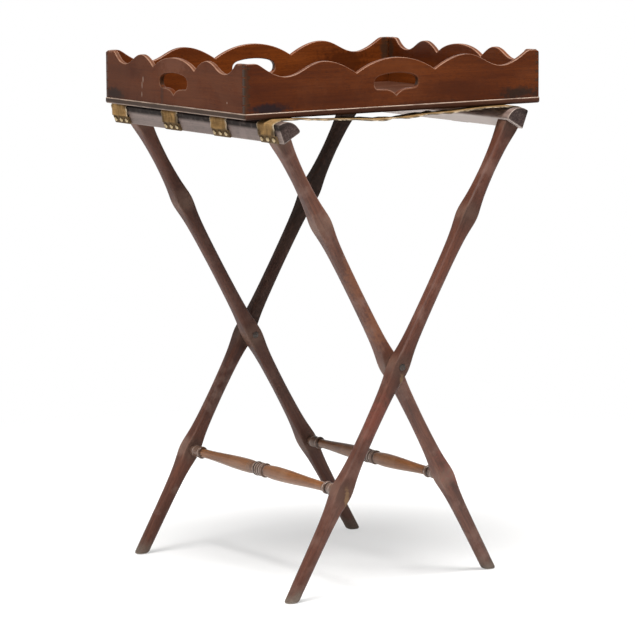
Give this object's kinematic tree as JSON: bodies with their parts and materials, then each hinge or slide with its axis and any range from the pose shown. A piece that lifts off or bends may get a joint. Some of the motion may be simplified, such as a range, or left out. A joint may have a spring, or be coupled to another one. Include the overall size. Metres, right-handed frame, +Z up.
{
  "type": "butler tray on folding stand",
  "caption": "Scalloped wooden serving tray with hand holes, resting on a cross-legged folding stand with webbing straps and turned stretchers.",
  "frame": {"origin": "on the floor, under the middle of the bounding box", "axes": "+Z up, +X along the tray's long side, +Y across the tray; the hand that reads the picture stands on the -X -Y side"},
  "size_m": [0.5954, 0.534, 0.8906],
  "materials": {
    "tray_wood": "aged red-brown mahogany, french polished, worn edges",
    "leg_wood": "dark purple-brown stained hardwood, rubbed sheen",
    "rail_wood": "grey-brown polished hardwood, dull sheen",
    "turned_wood": "orange-brown turned hardwood with dark rings",
    "webbing": "worn golden-brown cotton webbing with pale frayed edges",
    "brass": "aged brass",
    "iron": "dark iron"
  },
  "bodies": {
    "outer_frame": {"outer_rail": "rail_wood", "outer_leg_near": "leg_wood", "outer_leg_far": "leg_wood", "outer_stretcher": "turned_wood", "pivot_pin_near": "iron", "pivot_pin_far": "iron", "pivot_washer_near": "brass", "pivot_washer_far": "brass", "strap_1": "webbing", "strap_2": "webbing", "strap_3": "webbing", "strap_4": "webbing", "outer_tack_1": "brass", "outer_tack_2": "brass", "outer_tack_3": "brass", "outer_tack_4": "brass", "outer_tack_5": "brass", "outer_tack_6": "brass", "outer_tack_7": "brass", "outer_tack_8": "brass", "outer_tack_9": "brass", "outer_tack_10": "brass", "outer_tack_11": "brass", "outer_tack_12": "brass"},
    "inner_frame": {"inner_rail": "rail_wood", "inner_leg_near": "leg_wood", "inner_leg_far": "leg_wood", "inner_stretcher": "turned_wood", "inner_tack_1": "brass", "inner_tack_2": "brass", "inner_tack_3": "brass", "inner_tack_4": "brass", "inner_tack_5": "brass", "inner_tack_6": "brass", "inner_tack_7": "brass", "inner_tack_8": "brass", "inner_tack_9": "brass", "inner_tack_10": "brass", "inner_tack_11": "brass", "inner_tack_12": "brass"},
    "tray": {"base_board_wide": "tray_wood", "base_board_narrow": "tray_wood", "side_front": "tray_wood", "side_back": "tray_wood", "side_left": "tray_wood", "side_right": "tray_wood", "base_screw_1": "iron", "base_screw_2": "iron", "base_screw_3": "iron", "base_screw_4": "iron", "base_screw_5": "iron", "base_screw_6": "iron", "base_screw_7": "iron", "base_screw_8": "iron", "base_screw_9": "iron", "base_screw_10": "iron"}
  },
  "joints": [
    {"name": "stand_fold", "type": "hinge", "parent": "outer_frame", "child": "inner_frame", "pos_m": [-0.0122, 0, 0.3753], "axis": [0, 1, 0], "range_deg": [0, 52], "deforming": ["strap_1", "strap_2", "strap_3", "strap_4"]},
    {"name": "tray_lift", "type": "slide", "parent": "outer_frame", "child": "tray", "axis": [0, 0, 1], "range_m": [0, 0.37]}
  ],
  "couplings": [
    {"joint": "tray_lift", "follows": "stand_fold", "m_per_rad": 0.4}
  ]
}
